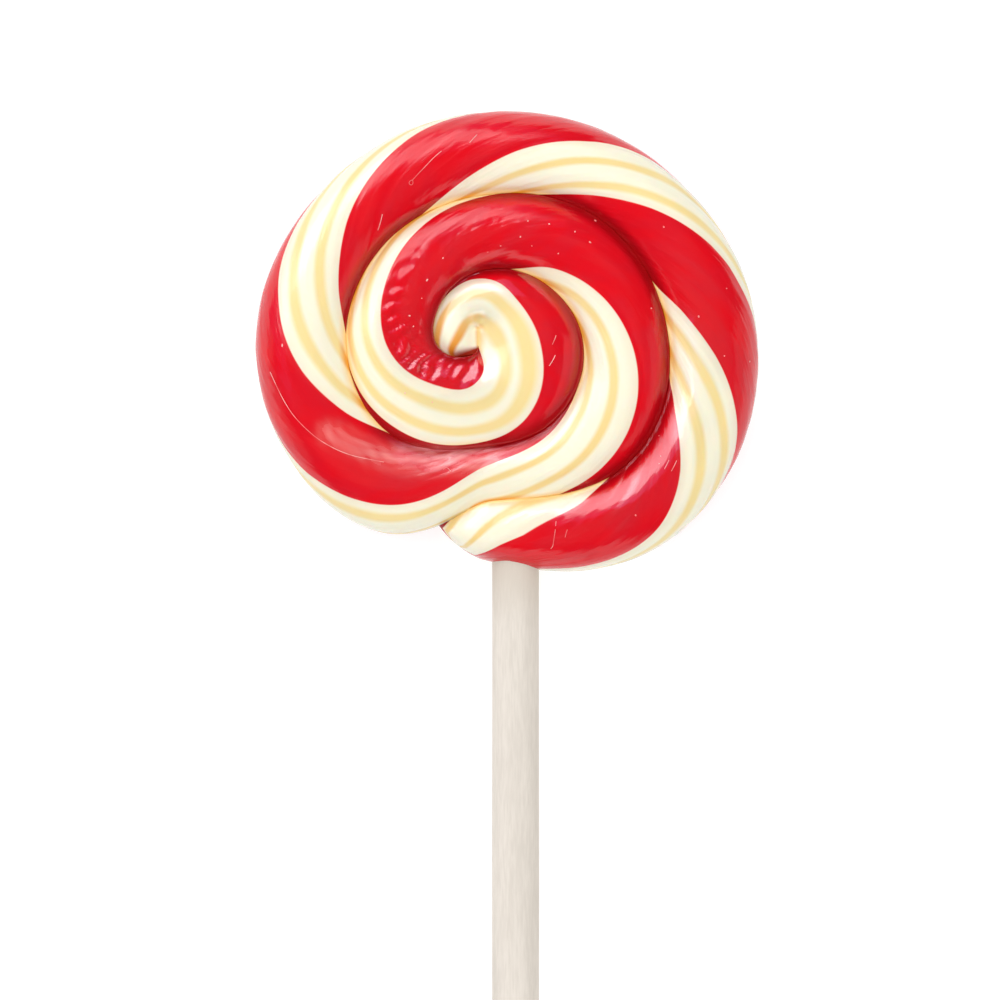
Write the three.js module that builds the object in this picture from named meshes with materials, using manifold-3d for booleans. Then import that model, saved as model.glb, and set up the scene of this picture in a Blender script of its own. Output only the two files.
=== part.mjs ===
// Swirl lollipop: a twisted rope of boiled sugar, coiled flat from its cut outer end to a small
// hook at the middle, on a round paper stick. It lies on its flat back with the face up.
// Millimetres, +Z up, the stick along -Y. The origin is under the middle of the whole piece.
import * as THREE from "three";
import { mergeVertices } from "three/addons/utils/BufferGeometryUtils.js";
import Module from "manifold-3d";

// ---- Driving dimensions (mm, and degrees round the coil) ----

const STICK_DIAMETER = 6.35;
const STICK_LENGTH = 140;
const STICK_CHAMFER = 0.3;
const STICK_DEPTH = 15.5; // how far the stick goes into the candy
const STICK_X = 5.0; // from the coil's middle, as the stick sits a little to one side
const STICK_Z = 5.2; // height of the stick's axis above the flat back
const STICK_GAP = 0.3; // room round the stick in its socket

// The outside edge of the rope, measured from the coil's middle at each eighth of a turn,
// from the outer end inwards. One turn later it is also the groove along the rope's inside.
const EDGE_FIRST = -135;
const EDGE_STEP = 45;
const EDGE_RADII = [
  23.5, 28.2, 36.3, 37.2, 34.0, 30.9, 29.2, 29.5, 29.1, // outer turn
  28.7, 27.8, 25.4, 23.2, 19.7, 18.1, 17.4, 16.5, // second turn
  13.5, 14.2, 13.9, 11.9, 9.7, 7.3, 5.5, 2.3, 0.5, 0, // the hook at the middle
];

// The rope's outer end is pressed into the second turn and dents it.
const DENT_ANGLE = 274.5;
const DENT_DEPTH = 7.85;
const DENT_WIDTH = { before: 21.8, after: 42.8 };

const ROPE_HEIGHT = 11.8; // before its back is flattened
const FLAT_DEPTH = 0.5; // what the flat back takes off
const THINNING = 1.5; // a rope half as wide as this is clearly lower than a full one
const PRESSED = 0.9; // half width at the groove, as a share of the free rope's half width
const PRESSED_AT_STICK = 0.72; // the candy closes over the stick, so its groove is shallow there
const STICK_GROOVE_ANGLE = 284;
const STICK_GROOVE_WIDTH = 16;
const FREE_SIDE = 1; // the same share where nothing presses on the rope
const FREE_UNTIL = 262; // the outside edge is free up to this angle

const OUTER_END = -95.75; // the middle of the slanting cut
const CUT_SLANT = 6.25; // half of the angle between the cut's two corners
const CUT_SLANT_FADE = 12;
const CUT_ROUNDING = 7; // the rope's height falls away over this angle at its cut
const CUT_LOWEST = 0.5; // share of its height left at the cut itself
const INNER_END = 966;

// Round the middle the rope folds back on itself along a short crease.
const CREASE_FOOT = -0.5;
const CREASE_LENGTH = 2.7;
const CREASE_RISE = [655, 765];
const CREASE_FALL = [850, 935];
const CREASE_START = 630;
const CREASE_GAP = 1.02; // the rope stops just short of the crease, and a web fills it
const WEB_WIDTH = 0.6;
const WEB_TOP = 7.6;

const SIDES = 18;
const STEP = 5; // degrees from one section of the rope to the next
const SEGMENTS = [OUTER_END, 180, 450, 730, INNER_END]; // the rope is bent in four lengths, then joined
const STICK_SIDES = 36;

const RED = 0xd81e2a;
const CREAM = 0xe9dfd2;

// ---- The coil's outline ----

const radians = THREE.MathUtils.degToRad;
const bell = (x) => Math.exp(-x * x);
const polar = (radius, angle) =>
  new THREE.Vector2(Math.cos(radians(angle)), Math.sin(radians(angle))).multiplyScalar(radius);

// A smooth curve through the listed radii, with the dent taken off.
function edgeRadius(angle) {
  const place = (angle - EDGE_FIRST) / EDGE_STEP;
  const i = THREE.MathUtils.clamp(Math.floor(place), 1, EDGE_RADII.length - 3);
  const [a, b, c, d] = EDGE_RADII.slice(i - 1, i + 3);
  const f = place - i;
  const smooth =
    b + (f * (c - a + f * (2 * a - 5 * b + 4 * c - d + f * (3 * (b - c) + d - a)))) / 2;
  const width = angle < DENT_ANGLE ? DENT_WIDTH.before : DENT_WIDTH.after;
  return smooth - DENT_DEPTH * bell((angle - DENT_ANGLE) / width);
}

function innerEdge(angle) {
  if (angle <= CREASE_START) return polar(edgeRadius(angle + 360), angle);
  const up = THREE.MathUtils.smoothstep(angle, ...CREASE_RISE);
  const down = THREE.MathUtils.smoothstep(angle, ...CREASE_FALL);
  return new THREE.Vector2(0, CREASE_FOOT + CREASE_LENGTH * (up - down));
}

// How far the neighbouring turn presses on the rope, by the angle of the groove between them.
function pressed(grooveAngle) {
  const groove =
    PRESSED -
    (PRESSED - PRESSED_AT_STICK) * bell((grooveAngle - STICK_GROOVE_ANGLE) / STICK_GROOVE_WIDTH);
  const free = 1 - THREE.MathUtils.smoothstep(grooveAngle, FREE_UNTIL - 8, FREE_UNTIL + 8);
  return THREE.MathUtils.lerp(groove, FREE_SIDE, free);
}

// ---- The rope ----

// The rope's section at one angle: where it lies, which way is out, and how wide and high it is.
function sectionAt(angle) {
  const slant = CUT_SLANT * Math.exp(-(angle - OUTER_END) / CUT_SLANT_FADE);
  const outer = polar(edgeRadius(angle + slant), angle + slant);
  const inner =
    angle <= CREASE_START
      ? polar(edgeRadius(angle - slant + 360), angle - slant)
      : innerEdge(angle);
  const out = outer.clone().sub(inner);
  const halfWidth = out.length() / 2;
  out.normalize();
  const fromCut = Math.min(1, (angle - OUTER_END) / CUT_ROUNDING);
  const cut = CUT_LOWEST + (1 - CUT_LOWEST) * Math.sqrt(1 - (1 - fromCut) ** 2);
  const halfHeight = (ROPE_HEIGHT / 2) * (1 - Math.exp(-halfWidth / THINNING));
  return {
    middle: outer.add(inner).multiplyScalar(0.5),
    out,
    outside: halfWidth / pressed(angle),
    inside: halfWidth / (angle <= CREASE_START ? pressed(angle + 360) : CREASE_GAP),
    halfHeight: halfHeight * cut,
    axisHeight: halfHeight * (1 - (2 * FLAT_DEPTH) / ROPE_HEIGHT),
  };
}

// A straight rod bent onto the coil: its length becomes the angle, each ring becomes a section.
function ropeSegment(from, to) {
  const steps = Math.ceil((to - from) / STEP);
  const rod = new THREE.CylinderGeometry(1, 1, 1, SIDES, steps);
  const place = rod.getAttribute("position");
  const point = new THREE.Vector3();
  for (let i = 0; i < place.count; i++) {
    point.fromBufferAttribute(place, i);
    const section = sectionAt(THREE.MathUtils.lerp(from, to, point.y + 0.5));
    const across = point.x * (point.x > 0 ? section.outside : section.inside);
    const flat = section.middle.clone().addScaledVector(section.out, across);
    const height = section.axisHeight + point.z * section.halfHeight;
    place.setXYZ(i, flat.x, flat.y, Math.max(0, height));
  }
  return rod;
}

// ---- Joining and cutting ----

const wasm = await Module();
wasm.setup();

function solid(geometry) {
  const bare = geometry.clone();
  bare.deleteAttribute("normal");
  bare.deleteAttribute("uv");
  const merged = mergeVertices(bare, 1e-4);
  return new wasm.Manifold(
    new wasm.Mesh({
      numProp: 3,
      vertProperties: new Float32Array(merged.getAttribute("position").array),
      triVerts: new Uint32Array(merged.index.array),
    }),
  );
}

function geometryOf(shape) {
  const mesh = shape.getMesh();
  const geometry = new THREE.BufferGeometry();
  geometry.setAttribute("position", new THREE.BufferAttribute(mesh.vertProperties, 3));
  geometry.setIndex(new THREE.BufferAttribute(mesh.triVerts, 1));
  return geometry;
}

// ---- The two pieces ----

const stickTop = -edgeRadius(-80) * Math.sin(radians(80)) + STICK_DEPTH;

// A round rod along Y that ends at stickTop, with its edges eased by the chamfer.
function rodAlongY(radius, length, chamfer, top) {
  const profile = [
    new THREE.Vector2(0, 0),
    new THREE.Vector2(radius - chamfer, 0),
    new THREE.Vector2(radius, chamfer),
    new THREE.Vector2(radius, length - chamfer),
    new THREE.Vector2(radius - chamfer, length),
    new THREE.Vector2(0, length),
  ];
  return new THREE.LatheGeometry(profile, STICK_SIDES).translate(STICK_X, top - length, 0)
    .translate(0, 0, STICK_Z);
}

function candyCoil() {
  let coil = solid(ropeSegment(SEGMENTS[0], SEGMENTS[1]));
  for (let i = 1; i < SEGMENTS.length - 1; i++) {
    coil = coil.add(solid(ropeSegment(SEGMENTS[i], SEGMENTS[i + 1])));
  }
  const web = new THREE.BoxGeometry(WEB_WIDTH, CREASE_LENGTH + WEB_WIDTH, WEB_TOP - FLAT_DEPTH);
  web.translate(0, CREASE_FOOT + CREASE_LENGTH / 2, (WEB_TOP + FLAT_DEPTH) / 2);
  const socket = rodAlongY(
    STICK_DIAMETER / 2 + STICK_GAP,
    STICK_DEPTH * 2,
    STICK_CHAMFER,
    stickTop + STICK_GAP,
  );
  return geometryOf(coil.add(solid(web)).subtract(solid(socket)));
}

const lollipop = new THREE.Group();

const candy = new THREE.Mesh(
  candyCoil(),
  new THREE.MeshStandardMaterial({ color: RED, roughness: 0.15, metalness: 0 }),
);
candy.name = "candy_coil";

const stick = new THREE.Mesh(
  rodAlongY(STICK_DIAMETER / 2, STICK_LENGTH, STICK_CHAMFER, stickTop),
  new THREE.MeshStandardMaterial({ color: CREAM, roughness: 0.85, metalness: 0 }),
);
stick.name = "stick";

lollipop.add(candy, stick);

// The origin goes under the middle of the whole piece.
const box = new THREE.Box3().setFromObject(lollipop, true);
const middle = box.getCenter(new THREE.Vector3());
lollipop.position.set(-middle.x, -middle.y, -box.min.z);

export default lollipop;
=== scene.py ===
# %% [markdown]
# # A swirl lollipop
#
# A swirl lollipop is one rope of boiled sugar. The maker lays red and cream strips side by side,
# pulls thin gold threads over the cream, rolls everything into a rod, twists the rod, and coils
# it flat while it is still soft. The end goes round a paper stick, and the candy sets.
#
# This lesson builds it in the same order: a straight rod, then the twist and the coil, then the
# marks that hands and the cooling table leave, and last the colours, which still follow the
# straight rod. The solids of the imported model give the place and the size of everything.

# %% The frame
import math
import random

import bpy
import numpy as np
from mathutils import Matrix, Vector


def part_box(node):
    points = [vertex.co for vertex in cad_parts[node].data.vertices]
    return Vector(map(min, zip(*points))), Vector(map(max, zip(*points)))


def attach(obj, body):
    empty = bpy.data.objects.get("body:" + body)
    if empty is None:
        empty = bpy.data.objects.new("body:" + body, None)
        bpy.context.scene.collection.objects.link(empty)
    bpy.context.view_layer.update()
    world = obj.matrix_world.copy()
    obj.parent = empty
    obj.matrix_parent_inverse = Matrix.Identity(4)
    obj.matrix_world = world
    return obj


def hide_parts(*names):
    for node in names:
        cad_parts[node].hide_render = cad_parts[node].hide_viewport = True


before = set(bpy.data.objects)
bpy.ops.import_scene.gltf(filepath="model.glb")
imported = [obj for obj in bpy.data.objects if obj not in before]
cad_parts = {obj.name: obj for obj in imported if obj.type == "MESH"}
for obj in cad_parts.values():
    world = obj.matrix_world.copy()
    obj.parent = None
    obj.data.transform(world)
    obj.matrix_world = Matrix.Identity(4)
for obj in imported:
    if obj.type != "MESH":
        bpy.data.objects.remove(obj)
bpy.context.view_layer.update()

MM = 0.001

# %% [markdown]
# ## The camera
#
# The lollipop lies on its back, so a camera that looks straight down shows its face. A long lens
# from far away keeps the picture flat: near and far parts of the candy come out at one scale.
# The view is set by how many millimetres of the object fit across the picture.

# %% The camera
VIEW_WIDTH = 132.3 * MM  # across the picture, at the height of the rope's widest part
VIEW_MIDDLE = (-0.95 * MM, 41.0 * MM, 5.4 * MM)
CAMERA_DISTANCE = 1.5

bpy.ops.object.camera_add(
    location=(VIEW_MIDDLE[0], VIEW_MIDDLE[1], VIEW_MIDDLE[2] + CAMERA_DISTANCE),
    rotation=(0, 0, 0),
)
camera = bpy.context.object
camera.name = "camera"
camera.data.sensor_fit = "HORIZONTAL"
camera.data.sensor_width = 36
camera.data.lens = camera.data.sensor_width * CAMERA_DISTANCE / VIEW_WIDTH
camera.data.clip_end = 10
bpy.context.scene.camera = camera
print("lens", round(camera.data.lens), "mm")

# %% [markdown]
# ## The coil's outline
#
# From above, the candy is one spiral line: the outside edge of the rope. A turn later the same
# line is the groove along the rope's inside. So one list of radii, an eighth of a turn apart,
# gives the outline, both grooves and the width of the rope everywhere. A smooth curve goes
# through the radii, and the place where the rope's outer end was pressed into the second turn
# is a dent taken off that curve.

# %% Sizes of the coil (mm, and degrees round the coil)
EDGE_FIRST = -135
EDGE_STEP = 45
EDGE_RADII = [
    23.5, 28.2, 36.3, 37.2, 34.0, 30.9, 29.2, 29.5, 29.1,  # outer turn
    28.7, 27.8, 25.4, 23.2, 19.7, 18.1, 17.4, 16.5,  # second turn
    13.5, 14.2, 13.9, 11.9, 9.7, 7.3, 5.5, 2.3, 0.5, 0,  # the hook at the middle
]
DENT_ANGLE = 274.5
DENT_DEPTH = 7.85
DENT_WIDTH_BEFORE = 21.8
DENT_WIDTH_AFTER = 42.8
OUTER_END = -95.75
INNER_END = 966


def bell(x):
    return np.exp(-x * x)


def smoothstep(x, low, high):
    f = np.clip((x - low) / (high - low), 0, 1)
    return f * f * (3 - 2 * f)


def from_table(table, place):
    return np.interp(place, list(table), list(table.values()))


def curve_through(values, place):
    """A smooth curve through evenly spaced values, read at a place counted in steps."""
    i = np.clip(np.floor(place).astype(int), 1, len(values) - 3)
    a, b, c, d = (np.array(values, float)[i + k] for k in (-1, 0, 1, 2))
    f = place - i
    return b + f * (c - a + f * (2 * a - 5 * b + 4 * c - d + f * (3 * (b - c) + d - a))) / 2


def edge_radius(angle):
    width = np.where(angle < DENT_ANGLE, DENT_WIDTH_BEFORE, DENT_WIDTH_AFTER)
    dent = DENT_DEPTH * bell((angle - DENT_ANGLE) / width)
    return curve_through(EDGE_RADII, (angle - EDGE_FIRST) / EDGE_STEP) - dent


def polar(radius, angle):
    return np.stack([radius * np.cos(np.radians(angle)), radius * np.sin(np.radians(angle))], -1)


print("widest radius", round(float(edge_radius(np.arange(OUTER_END, 200, 1.0)).max()), 1), "mm")

# %% [markdown]
# ## The rope's section
#
# A free rope is round. Where the next turn leans on it, the soft sugar is pressed flat, and a
# groove stays between the turns. The back is flat because it cooled on a table. The groove is
# shallow near the stick, where the candy closes over it, and where turns ran partly together. At
# its inner end the rope folds back on itself along a short crease. Each of these is a small rule
# with a size, and together they give the section at every angle of the coil.

# %% Sizes of the section
ROPE_HEIGHT = 11.8  # before its back is flattened
FLAT_DEPTH = 0.5
THINNING = 1.5  # a rope half as wide as this is clearly lower than a full one
PRESSED = 0.9  # half width at the groove, as a share of the free rope's half width
PRESSED_AT_STICK = 0.72
STICK_GROOVE_ANGLE = 284
STICK_GROOVE_WIDTH = 16
CLOSED_UP = {  # groove angle: the share left of the groove, over the dent and round the hook
    520: 1.0, 565: 0.91, 600: 0.84, 625: 0.83, 660: 0.9, 700: 1.0, 800: 1.0, 850: 0.88,
    940: 0.86, 985: 1.0,
}
FREE_UNTIL = 262  # nothing presses on the outside edge up to this angle
FREE_FADE = 8
CUT_SLANT = 6.25  # half of the angle between the cut's two corners
CUT_SLANT_FADE = 12
CUT_ROUNDING = 7  # the rope's height falls away over this angle at its cut
CUT_LOWEST = 0.5  # share of its height left at the cut itself
CREASE_FOOT = -0.5  # above the coil's middle
CREASE_LENGTH = 2.7
CREASE_RISE = (655, 765)  # the rope's inside edge goes up the crease
CREASE_FALL = (850, 935)
CREASE_START = 630
CREASE_EASE = 20
CREASE_PRESSED = 0.98


def inner_edge(angle, slant):
    """The rope's inside edge: the next turn's outside edge, or the crease at the inner end."""
    up = smoothstep(angle, *CREASE_RISE) - smoothstep(angle, *CREASE_FALL)
    crease = np.stack([np.zeros_like(angle), CREASE_FOOT + CREASE_LENGTH * up], -1)
    groove = polar(edge_radius(angle - slant + 360), angle - slant)
    return np.where((angle <= CREASE_START)[:, None], groove, crease)


def pressed(groove_angle):
    """How far the neighbouring turn flattens the rope at a groove, where 1 is not at all."""
    near_stick = bell((groove_angle - STICK_GROOVE_ANGLE) / STICK_GROOVE_WIDTH)
    groove = PRESSED - (PRESSED - PRESSED_AT_STICK) * near_stick
    free = 1 - smoothstep(groove_angle, FREE_UNTIL - FREE_FADE, FREE_UNTIL + FREE_FADE)
    return groove + (1 - groove) * free


def closed_up(groove_angle):
    return from_table(CLOSED_UP, groove_angle)


def section_at(angle):
    """Where the rope's section lies at each angle, which way is out, and how wide and high it is."""
    slant = CUT_SLANT * np.exp(-(angle - OUTER_END) / CUT_SLANT_FADE)
    outer = polar(edge_radius(angle + slant), angle + slant)
    inner = inner_edge(angle, slant)
    half = np.linalg.norm(outer - inner, axis=-1) / 2
    from_cut = np.minimum(1, (angle - OUTER_END) / CUT_ROUNDING)
    cut = CUT_LOWEST + (1 - CUT_LOWEST) * np.sqrt(1 - (1 - from_cut) ** 2)
    height = ROPE_HEIGHT / 2 * (1 - np.exp(-half / THINNING))
    inner_press = pressed(angle + 360) * closed_up(angle + 360)
    at_crease = smoothstep(angle, CREASE_START - CREASE_EASE, CREASE_START + CREASE_EASE)
    inner_press += (CREASE_PRESSED - inner_press) * at_crease
    return {
        "middle": (outer + inner) / 2,
        "out": (outer - inner) / (2 * half)[:, None],
        "half": half,
        "outside": half / (pressed(angle) * closed_up(angle)),
        "inside": half / inner_press,
        "height": height * cut,
        "axis": height * (1 - 2 * FLAT_DEPTH / ROPE_HEIGHT),
    }


fattest = section_at(np.arange(OUTER_END, INNER_END, 1.0))["half"].max() * 2
print("widest section of the rope:", round(float(fattest), 1), "mm")

# %% [markdown]
# ## The straight rod
#
# The rod starts as a cylinder, lying along Y, at the rope's real length. Its two end faces are
# inset a few times, so that they can be rounded later. Then its long edges are selected and
# subdivided, which cuts every side face into a strip of short ones, because the rod has to bend
# smoothly. Two rounds are used, because the operator makes at most a hundred cuts at a time.

# %% Helpers for modelling
ALONG_Y = 0.9  # share of its normal from which a face looks along Y
LONGER = 2  # an edge runs along Y when it goes so many times further that way


def select_nothing():
    if bpy.context.object and bpy.context.object.mode != "OBJECT":
        bpy.ops.object.mode_set(mode="OBJECT")
    bpy.ops.object.select_all(action="DESELECT")


def select_only(piece):
    select_nothing()
    piece.select_set(True)
    bpy.context.view_layer.objects.active = piece


def read_rows(items, name, width=3, kind=np.float32):
    """One property of all points, edges or faces, in one row each."""
    values = np.zeros(len(items) * width, kind)
    items.foreach_get(name, values)
    return values.reshape(-1, width)


def points_of(piece):
    return read_rows(piece.data.vertices, "co").astype(float)


def move_points(piece, place):
    piece.data.vertices.foreach_set("co", place.astype(np.float32).ravel())
    piece.data.update()


def edit_with_nothing(piece, mode):
    """Deselects everything in the piece's mesh, and leaves it in object mode."""
    select_only(piece)
    bpy.ops.object.mode_set(mode="EDIT")
    bpy.ops.mesh.select_mode(type=mode)
    bpy.ops.mesh.select_all(action="DESELECT")
    bpy.ops.object.mode_set(mode="OBJECT")


def edit_end_faces(piece):
    """Goes into edit mode with the faces that look along Y selected."""
    edit_with_nothing(piece, "FACE")
    normal = read_rows(piece.data.polygons, "normal")
    piece.data.polygons.foreach_set("select", np.abs(normal[:, 1]) > ALONG_Y)
    bpy.ops.object.mode_set(mode="EDIT")


def edit_edges_along_y(piece):
    """Goes into edit mode with only the edges that run along Y selected."""
    edit_with_nothing(piece, "EDGE")
    ends = points_of(piece)[read_rows(piece.data.edges, "vertices", 2, np.int32)]
    step = np.abs(ends[:, 0] - ends[:, 1])
    piece.data.edges.foreach_set("select", step[:, 1] > LONGER * step[:, [0, 2]].max(1))
    bpy.ops.object.mode_set(mode="EDIT")


def rod_along_y(name, sides, radius, length):
    """A closed cylinder along Y, sized in millimetres, with its middle at the origin."""
    select_nothing()
    bpy.ops.mesh.primitive_cylinder_add(
        vertices=sides, radius=radius * MM, depth=length * MM,
        end_fill_type="NGON", rotation=(math.radians(90), 0, 0),
    )
    piece = bpy.context.object
    piece.name = name
    bpy.ops.object.transform_apply(location=True, rotation=True, scale=True)
    return piece


def cut_into_rings(piece, rounds):
    """Cuts the long edges into as many lengths as the product of the rounds."""
    for lengths in rounds:
        edit_edges_along_y(piece)
        bpy.ops.mesh.subdivide(number_cuts=lengths - 1)
        bpy.ops.object.mode_set(mode="OBJECT")


# %% The straight rod
ROPE_LENGTH = 293.0  # along the middle of the coiled rope
ROPE_RADIUS = 5.9
SIDES = 96
RINGS = (10, 98)  # how many lengths each round makes of one
END_INSETS = 4
END_INSET = 1.3

candy = rod_along_y("candy_rope", SIDES, ROPE_RADIUS, ROPE_LENGTH)
edit_end_faces(candy)
for inset in range(END_INSETS):
    bpy.ops.mesh.inset(thickness=END_INSET * MM)
bpy.ops.object.mode_set(mode="OBJECT")
cut_into_rings(candy, RINGS)
print("rod:", len(candy.data.vertices), "points,", len(candy.data.polygons), "faces")

# %% [markdown]
# ## Stations and twist
#
# Every point of the rod gets a station, which is the angle of the coil where its ring will lie.
# The twist is how far the rod has turned at each station. It is fast in the outer turn
# and slows down towards the middle, where the rope even turns back a little.
#
# Where two turns touch, they dragged each other's skin along while they were pressed together,
# so the stripes bend away there.
#
# The twisted position in the untwisted rod is kept as an attribute. The colours read it, so they
# are painted on a straight rod and follow the candy by themselves.

# %% Stations and twist
TWIST_FIRST = -135
TWIST_STEP = 45
TWIST = [  # degrees that the rod has turned
    -145, 57, 147, 277, 383, 471, 546, 616, 685,
    731, 774, 804, 840, 885, 909, 924, 941,
    935, 964, 982, 980, 950, 928, 915, 826, 755, 703,
]
FLATTENING = 0.12  # pressing the rope moves its stripes a little towards its sides
DRAG_INSIDE = {  # station: degrees that the next turn dragged the stripes along in the groove
    -90: -13, -50: -9, -15: 0, 15: -8, 75: -3, 165: -6, 195: -6, 225: -10, 262: -6,
    300: 0, 345: -1, 375: -5, 405: -13, 450: -14, 560: -14, 620: -16, 700: -16, 966: -14,
}
DRAG_OUTSIDE = {
    -75: -10, -45: -1, -15: 4, 15: -7, 45: 7, 105: 4, 165: 6, 225: 6, 315: 4, 435: 2,
    465: 4, 555: 3, 585: 0,
}
DRAGGED = (18, 60)  # degrees round the ring from the contact: fully dragged, not at all

rod = points_of(candy)
ring_angle = np.degrees(np.arctan2(rod[:, 2], rod[:, 0])) % 360  # 0 outside, 90 top, 180 inside
from_axis = np.minimum(1, np.hypot(rod[:, 0], rod[:, 2]) / (ROPE_RADIUS * MM))  # 1 on the rod's side
along = np.clip(rod[:, 1] / (ROPE_LENGTH * MM) + 0.5, 0, 1)
station = OUTER_END + along * (INNER_END - OUTER_END)


def by_station(table):
    return from_table(table, station)


twist = curve_through(TWIST, (station - TWIST_FIRST) / TWIST_STEP)
outward = np.cos(np.radians(ring_angle))
squeeze = np.where(outward > 0, closed_up(station), closed_up(station + 360))
squeezed = np.degrees(np.arccos(np.clip(outward / squeeze, -1, 1)))
squeezed = np.where(ring_angle > 180, 360 - squeezed, squeezed)
flattened = squeezed - FLATTENING / 2 * np.degrees(np.sin(2 * np.radians(squeezed - 90)))
from_inside = np.abs(squeezed - 180)
from_outside = 180 - from_inside
flattened += by_station(DRAG_INSIDE) * (1 - smoothstep(from_inside, *DRAGGED))
flattened += by_station(DRAG_OUTSIDE) * (1 - smoothstep(from_outside, *DRAGGED))
turned = flattened - twist
print("turns of twist along the rope:", round(float(twist.max() - twist.min()) / 360, 1))

# %% [markdown]
# ## The bands
#
# Going round the rod there are two red and two cream bands, so the pattern repeats each half
# turn. The red bands get narrower at the inner end, until the tip of the hook is all cream. Two
# gold threads lie on each cream band. Their places drift a little, as threads laid by hand do.

# %% The bands
HALF_TURN = 180
QUARTER_TURN = 90
RED_WIDTHS = {  # station: degrees round the rod
    -90: 84, 0: 98, 180: 100, 270: 90, 360: 99, 450: 133, 540: 118,
    600: 120, 660: 96, 720: 71, 840: 42, 880: 0, 966: 0,
}
GOLD_PLACES = {  # station: the two threads' places, as shares of the cream band
    -96: (0.48, 0.95), -90: (0.42, 0.92), -84: (0.30, 0.85), -74: (0.25, 0.72), -15: (0.28, 0.68),
    45: (0.38, 0.80), 90: (0.37, 0.82), 135: (0.28, 0.70), 195: (0.28, 0.70), 230: (0.30, 0.82),
    285: (0.34, 0.70), 345: (0.33, 0.72), 400: (0.33, 0.72), 480: (0.20, 0.58), 530: (0.28, 0.67),
    585: (0.32, 0.72), 615: (0.36, 0.74), 660: (0.18, 0.48), 690: (0.15, 0.42),
    725: (0.12, 0.37), 765: (0.14, 0.41), 800: (0.21, 0.56), 835: (0.27, 0.61), 860: (0.21, 0.55),
    890: (0.10, 0.38), 920: (0.08, 0.38),
}
DRIFT = (-16, -8, 0, 8, 16)  # stations that are averaged, so that nothing changes with a corner


def drifting(table):
    return np.mean([from_table(table, station + d) for d in DRIFT], axis=0)


red_width = drifting(RED_WIDTHS)
gold_low = drifting({at: pair[0] for at, pair in GOLD_PLACES.items()})
gold_high = drifting({at: pair[1] for at, pair in GOLD_PLACES.items()})
cream_width = HALF_TURN - red_width


def store(piece, name, values):
    kind = "FLOAT_VECTOR" if values.ndim == 2 else "FLOAT"
    layer = piece.data.attributes.new(name, kind, "POINT")
    layer.data.foreach_set("vector" if values.ndim == 2 else "value", values.astype(np.float32).ravel())


def apart(a, b):
    """The angle between two places on a rod whose pattern repeats each half turn."""
    return np.abs((a - b + QUARTER_TURN) % HALF_TURN - QUARTER_TURN)


turn = np.radians(turned)
store(candy, "rod", np.stack([np.cos(turn), np.sin(turn), along * ROPE_LENGTH / ROPE_RADIUS], -1))
store(candy, "bands", np.stack([red_width, gold_low, gold_high], -1))
print("red is", round(float(red_width.max())), "degrees wide at most")

# %% [markdown]
# ## Furrows between the colours
#
# The sugar was folded at the borders between colours and at the threads, so each of them is a
# shallow furrow. Their places are known already, so each furrow is a bell-shaped dip there. The
# whole relief changes the rope's radius when it is coiled.

# %% Furrows between the colours
BORDER_DEPTH = 0.10  # furrow at a border between colours
THREAD_DEPTH = 0.05
FURROW_WIDTH = 10  # degrees round the rod
NARROW_RED = 40  # furrows get shallower where the red bands are narrower than this
INSET_OF_RELIEF = 0.07  # the relief starts this far under the solid's surface

relief = np.zeros_like(station)
for border in (0, cream_width):
    relief -= BORDER_DEPTH * bell(apart(turned, border) / FURROW_WIDTH)
for gold_place in (gold_low, gold_high):
    relief -= THREAD_DEPTH * bell(apart(turned, gold_place * cream_width) / FURROW_WIDTH)
relief *= smoothstep(red_width, 0, NARROW_RED)
relief -= INSET_OF_RELIEF
print("furrows reach", round(float(-relief.min()), 2), "mm down")

# %% [markdown]
# ## Wrinkles, puckers and ridges
#
# On the inside of the second turn the rope was bent most, and its skin gathered into a row of
# small wrinkles with a line of finer puckers beside them. They could be sculpted, but they are
# regular, so a wave that leans with the twist makes them. Pulling the rod left fine ridges along
# the stripes. Slower waves make every row uneven.

# %% Wrinkles
WRINKLE_STATIONS = (468, 500, 562, 590)  # they begin, are full, begin to fade, are gone
WRINKLE_RING = {440: 70, 486: 74, 512: 82, 530: 94, 550: 104, 580: 112, 642: 124}  # the deepest
WRINKLE_FIRST = 480.4
WRINKLE_STEP = 10.8  # degrees of the coil from one wrinkle to the next
STEP_WAVES = ((1.9, 37), (1.2, 23))  # height and length of the waves that make it uneven
WRINKLE_DEPTH = {468: 0.40, 505: 0.48, 520: 0.72, 560: 0.95, 600: 0.8}
WRINKLE_LEVEL = 0.8  # share of a wrinkle that lies under the rope's own surface
WRINKLE_WIDTH = 20
WRINKLE_LEAN = 0.55
LEAN_FROM = 84  # degrees round the ring
LEAN_WAVES = ((1.3, 55),)
WRINKLE_BREAK = 19  # degrees round the ring between the breaks in a wrinkle
BREAK_DEPTH = 0.28
WRINKLE_KINDS = 40  # different heights and breaks, which wrinkles take in turn
KIND_HEIGHTS = (0.6, 1.15)
RED_EASE = 9  # degrees into a red band until the wrinkles are full


def between(stations):
    begin, full, fade, gone = stations
    return smoothstep(station, begin, full) * (1 - smoothstep(station, fade, gone))


def wave(place, length):
    return np.sin(np.radians(360 * place / length))


def add_waves(value, place, waves):
    """Adds waves to a value, each with its height and its length along the place."""
    for height, length in waves:
        value = value + height * wave(place, length)
    return value


def fading(share, level):
    """Takes up to twice a share away, as a wave's level goes from 1 down to -1."""
    return 1 - share + share * level


def tell_share(name, shares):
    print(name, round(float((shares > 0.5).mean()) * 100, 1), "% of the points")


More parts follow.
